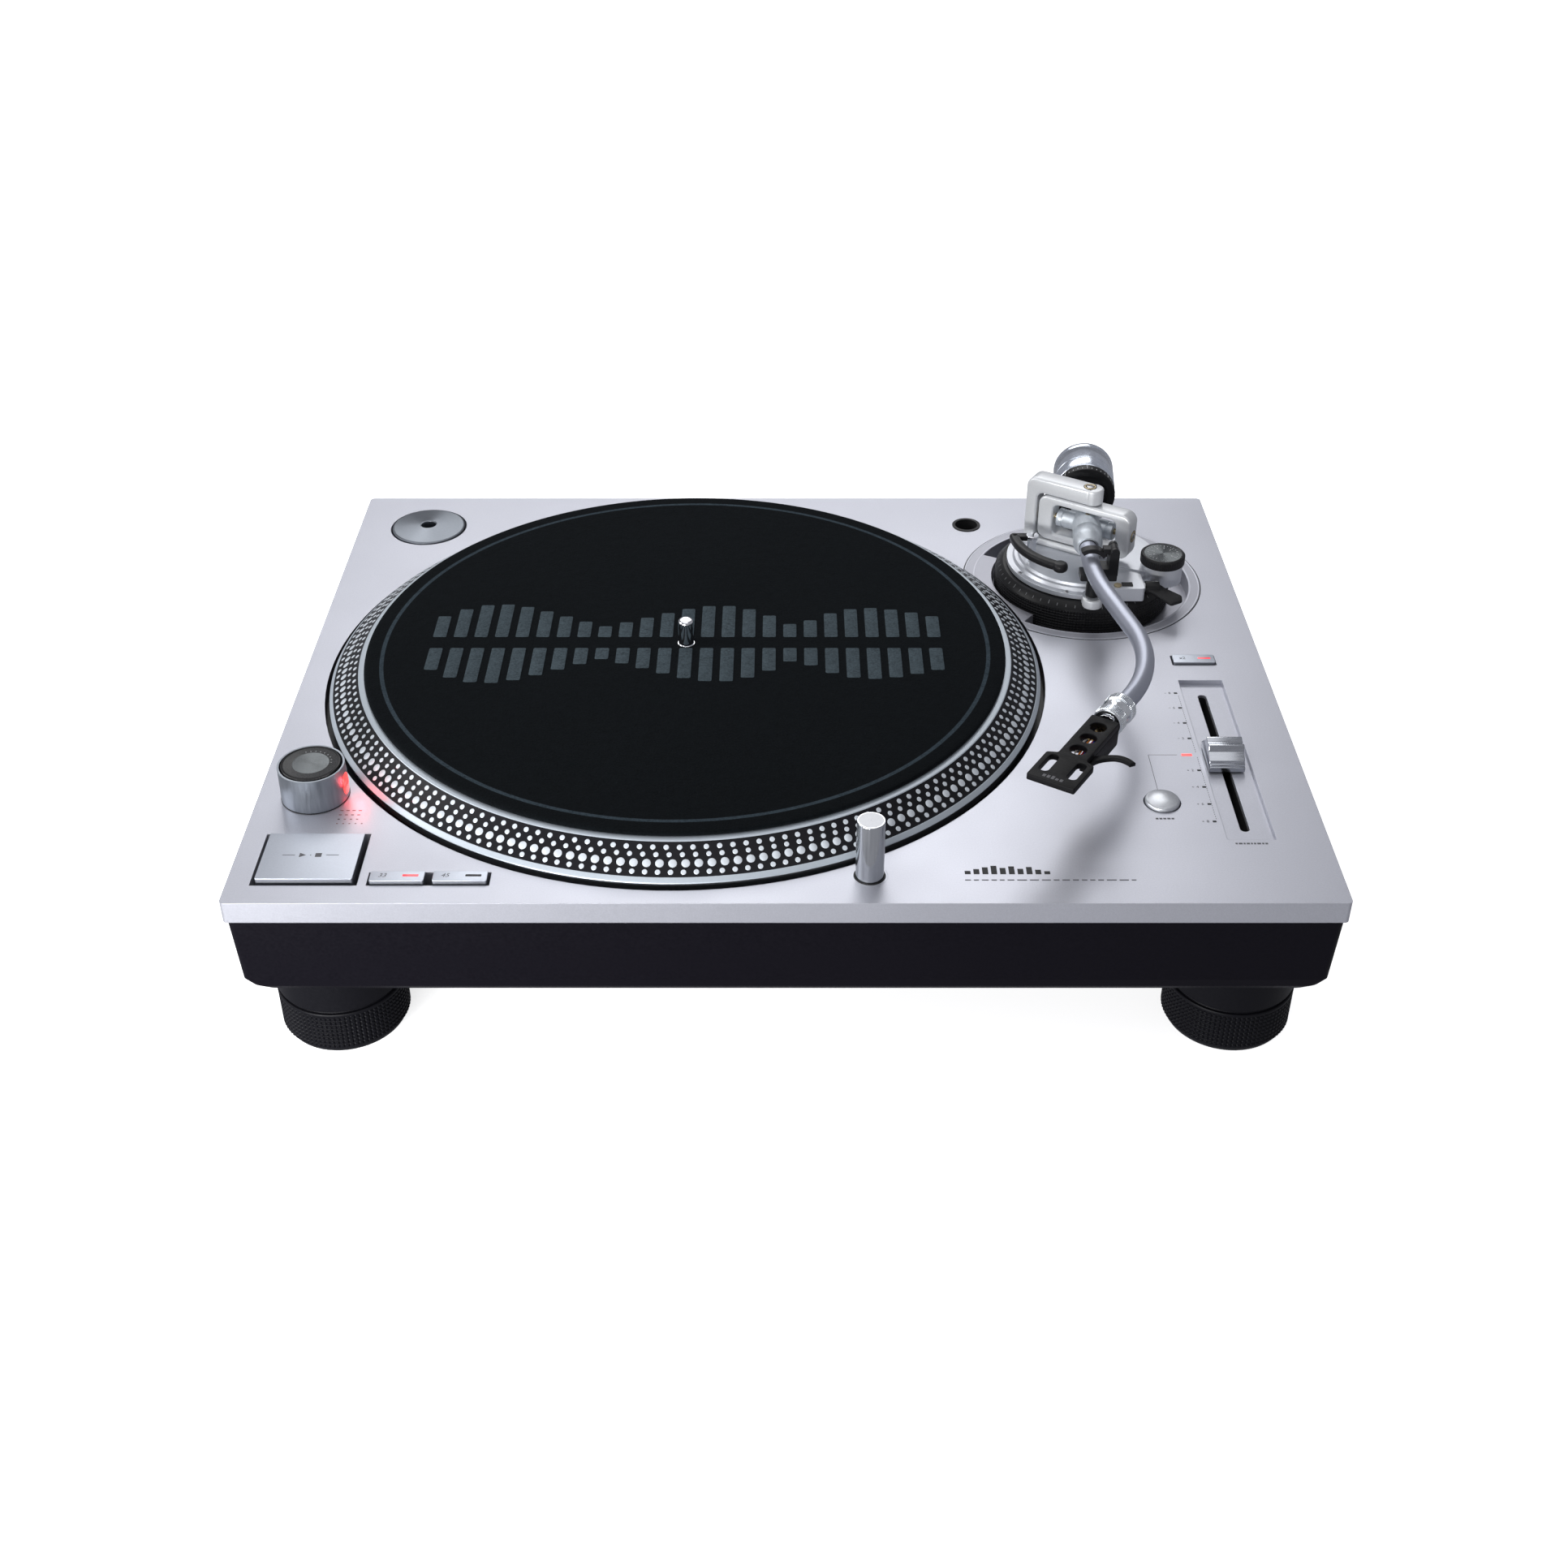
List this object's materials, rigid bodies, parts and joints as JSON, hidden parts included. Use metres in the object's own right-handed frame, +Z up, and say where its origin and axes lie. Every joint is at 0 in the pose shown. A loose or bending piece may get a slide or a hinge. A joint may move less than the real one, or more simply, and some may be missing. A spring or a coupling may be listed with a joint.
{
  "type": "turntable record player",
  "caption": "Direct-drive record player: metal deck on a dark case, platter with slipmat, S-shaped tonearm, pitch fader and push buttons on turning feet.",
  "frame": {"origin": "centre of the footprint, on the surface the feet stand on", "axes": "+X to the right as seen by the user, +Y to the back, +Z up"},
  "size_m": [0.453, 0.353, 0.15],
  "materials": {
    "deck_metal": "satin",
    "case_black": "matte",
    "foot_rubber": "matte",
    "screw_steel": "satin",
    "platter_metal": "satin",
    "damping_rubber": "matte",
    "magnet": "matte",
    "chrome": "polished",
    "felt": "matte",
    "bearing_brass": "satin",
    "motor_steel": "satin",
    "board": "satin",
    "copper": "satin",
    "transformer_iron": "matte",
    "adapter_metal": "satin",
    "silver_cap": "satin",
    "red_window": "polished",
    "knob_black": "satin",
    "inner_black": "matte",
    "arm_metal": "satin",
    "arm_tube_metal": "satin",
    "shell_black": "matte",
    "pivot_steel": "satin",
    "jack_gold": "polished"
  },
  "bodies": {
    "plinth": {"deck_panel": "deck_metal", "bottom_case": "case_black", "base_screws": "screw_steel", "foot_studs": "screw_steel", "bearing_housing": "bearing_brass", "motor_base": "motor_steel", "stator_board": "board", "stator_coils": "copper", "motor_screws": "screw_steel", "main_board": "board", "power_transformer": "transformer_iron", "strobe_housing": "silver_cap", "strobe_window": "red_window", "power_switch": "inner_black", "button_tray": "inner_black", "right_button_tray": "inner_black", "pitch_plate": "deck_metal", "pitch_fader_body": "inner_black", "pitch_led": "red_window", "target_light_collar": "inner_black", "headshell_holder": "inner_black", "arm_plate": "deck_metal", "connector_panel": "inner_black", "jacks": "jack_gold"},
    "foot_front_left": {"foot_front_left": "foot_rubber"},
    "foot_front_right": {"foot_front_right": "foot_rubber"},
    "foot_rear_left": {"foot_rear_left": "foot_rubber"},
    "foot_rear_right": {"foot_rear_right": "foot_rubber"},
    "platter": {"platter": "platter_metal", "platter_damping": "damping_rubber", "rotor_magnet": "magnet", "spindle_shaft": "chrome"},
    "slipmat": {"slipmat": "felt"},
    "adapter": {"adapter_45": "adapter_metal"},
    "power_knob": {"power_knob": "knob_black"},
    "start_stop": {"start_stop_button": "silver_cap"},
    "speed_33": {"speed_button_33": "silver_cap"},
    "speed_45": {"speed_button_45": "silver_cap"},
    "double_speed": {"double_speed_button": "silver_cap"},
    "reset": {"reset_button": "silver_cap"},
    "pitch_fader": {"pitch_fader_cap": "chrome"},
    "target_light": {"target_light": "silver_cap"},
    "height_ring": {"height_ring": "knob_black"},
    "arm_base": {"arm_base": "arm_metal", "gimbal_yoke": "arm_metal", "yoke_pivots": "pivot_steel", "arm_rest": "knob_black"},
    "anti_skate": {"anti_skate_knob": "knob_black"},
    "cue_lever": {"cue_lever": "knob_black"},
    "lift_platform": {"lift_platform": "knob_black"},
    "arm_clip": {"arm_clip": "knob_black"},
    "gimbal": {"gimbal_ring": "arm_metal", "ring_pivots": "pivot_steel"},
    "arm": {"arm_housing": "arm_metal", "arm_tube": "arm_tube_metal"},
    "counterweight": {"counterweight": "chrome"},
    "weight_dial": {"weight_dial": "knob_black"},
    "lock_nut": {"lock_nut": "chrome"},
    "headshell": {"headshell": "shell_black", "finger_lift": "shell_black"}
  },
  "joints": [
    {"name": "front_left_foot_turn", "type": "hinge", "parent": "plinth", "child": "foot_front_left", "pos_m": [-0.1955, -0.131, 0], "axis": [0, 0, 1], "range_deg": [-180, 180]},
    {"name": "front_right_foot_turn", "type": "hinge", "parent": "plinth", "child": "foot_front_right", "pos_m": [0.1955, -0.131, 0], "axis": [0, 0, 1], "range_deg": [-180, 180]},
    {"name": "rear_left_foot_turn", "type": "hinge", "parent": "plinth", "child": "foot_rear_left", "pos_m": [-0.1955, 0.131, 0], "axis": [0, 0, 1], "range_deg": [-180, 180]},
    {"name": "rear_right_foot_turn", "type": "hinge", "parent": "plinth", "child": "foot_rear_right", "pos_m": [0.1955, 0.131, 0], "axis": [0, 0, 1], "range_deg": [-180, 180]},
    {"name": "platter_spin", "type": "hinge", "parent": "plinth", "child": "platter", "pos_m": [-0.0465, 0, 0.098], "axis": [0, 0, -1], "continuous": true},
    {"name": "slipmat_slip", "type": "hinge", "parent": "platter", "child": "slipmat", "pos_m": [-0.0465, 0, 0.1105], "axis": [0, 0, -1], "continuous": true},
    {"name": "adapter_lift", "type": "slide", "parent": "plinth", "child": "adapter", "axis": [0, 0, 1], "range_m": [0, 0.03]},
    {"name": "power_turn", "type": "hinge", "parent": "plinth", "child": "power_knob", "pos_m": [-0.202, -0.102, 0.098], "axis": [0, 0, -1], "range_deg": [0, 60]},
    {"name": "start_stop_press", "type": "slide", "parent": "plinth", "child": "start_stop", "axis": [0, 0, -1], "range_m": [0, 0.0015], "stiffness_N_per_m": 900, "springref_m": -0.001},
    {"name": "speed_33_press", "type": "slide", "parent": "plinth", "child": "speed_33", "axis": [0, 0, -1], "range_m": [0, 0.001], "stiffness_N_per_m": 700, "springref_m": -0.001},
    {"name": "speed_45_press", "type": "slide", "parent": "plinth", "child": "speed_45", "axis": [0, 0, -1], "range_m": [0, 0.001], "stiffness_N_per_m": 700, "springref_m": -0.001},
    {"name": "double_speed_press", "type": "slide", "parent": "plinth", "child": "double_speed", "axis": [0, 0, -1], "range_m": [0, 0.0008], "stiffness_N_per_m": 700, "springref_m": -0.001},
    {"name": "reset_press", "type": "slide", "parent": "plinth", "child": "reset", "axis": [0, 0, -1], "range_m": [0, 0.001], "stiffness_N_per_m": 700, "springref_m": -0.001},
    {"name": "pitch_slide", "type": "slide", "parent": "plinth", "child": "pitch_fader", "axis": [0, -1, 0], "range_m": [-0.05, 0.05]},
    {"name": "target_light_push", "type": "slide", "parent": "plinth", "child": "target_light", "axis": [0, 0, -1], "range_m": [0, 0.022]},
    {"name": "height_ring_turn", "type": "hinge", "parent": "plinth", "child": "height_ring", "pos_m": [0.1505, 0.0865, 0.098], "axis": [0, 0, -1], "range_deg": [0, 330]},
    {"name": "arm_height", "type": "slide", "parent": "plinth", "child": "arm_base", "axis": [0, 0, 1], "range_m": [0, 0.006]},
    {"name": "anti_skate_turn", "type": "hinge", "parent": "arm_base", "child": "anti_skate", "pos_m": [0.187, 0.07, 0.118], "axis": [0, 0, -1], "range_deg": [0, 270]},
    {"name": "cue_raise", "type": "hinge", "parent": "arm_base", "child": "cue_lever", "pos_m": [0.1705, 0.054, 0.1116], "axis": [-1, 0, 0], "range_deg": [0, 60]},
    {"name": "lift_rise", "type": "slide", "parent": "arm_base", "child": "lift_platform", "axis": [0, 0, 1], "range_m": [0, 0.005]},
    {"name": "clip_open", "type": "hinge", "parent": "arm_base", "child": "arm_clip", "pos_m": [0.1579, 0.046, 0.1372], "axis": [0, 1, 0], "range_deg": [0, 110]},
    {"name": "arm_swing", "type": "hinge", "parent": "arm_base", "child": "gimbal", "pos_m": [0.1505, 0.0865, 0.1295], "axis": [0, 0, -1], "range_deg": [0, 45]},
    {"name": "arm_tilt", "type": "hinge", "parent": "gimbal", "child": "arm", "pos_m": [0.1505, 0.0865, 0.1295], "axis": [-0.848, 0.5299, 0], "range_deg": [0, 2.5]},
    {"name": "weight_turn", "type": "hinge", "parent": "arm", "child": "counterweight", "pos_m": [0.15529, 0.13627, 0.1295], "axis": [0.0958, 0.9954, 0], "range_deg": [-360, 360]},
    {"name": "dial_turn", "type": "hinge", "parent": "counterweight", "child": "weight_dial", "pos_m": [0.15366, 0.11935, 0.1295], "axis": [0.0958, 0.9954, 0], "range_deg": [-180, 180]},
    {"name": "lock_nut_turn", "type": "hinge", "parent": "arm", "child": "lock_nut", "pos_m": [0.14935, -0.07294, 0.1295], "axis": [-0.5299, -0.848, 0], "range_deg": [0, 45]},
    {"name": "headshell_pull", "type": "slide", "parent": "arm", "child": "headshell", "axis": [-0.5299, -0.848, 0], "range_m": [0, 0.02]}
  ],
  "couplings": [
    {"joint": "arm_height", "follows": "height_ring_turn", "m_per_rad": 0.0010417},
    {"joint": "cue_raise", "follows": "lift_rise", "rad_per_m": 209.44}
  ]
}
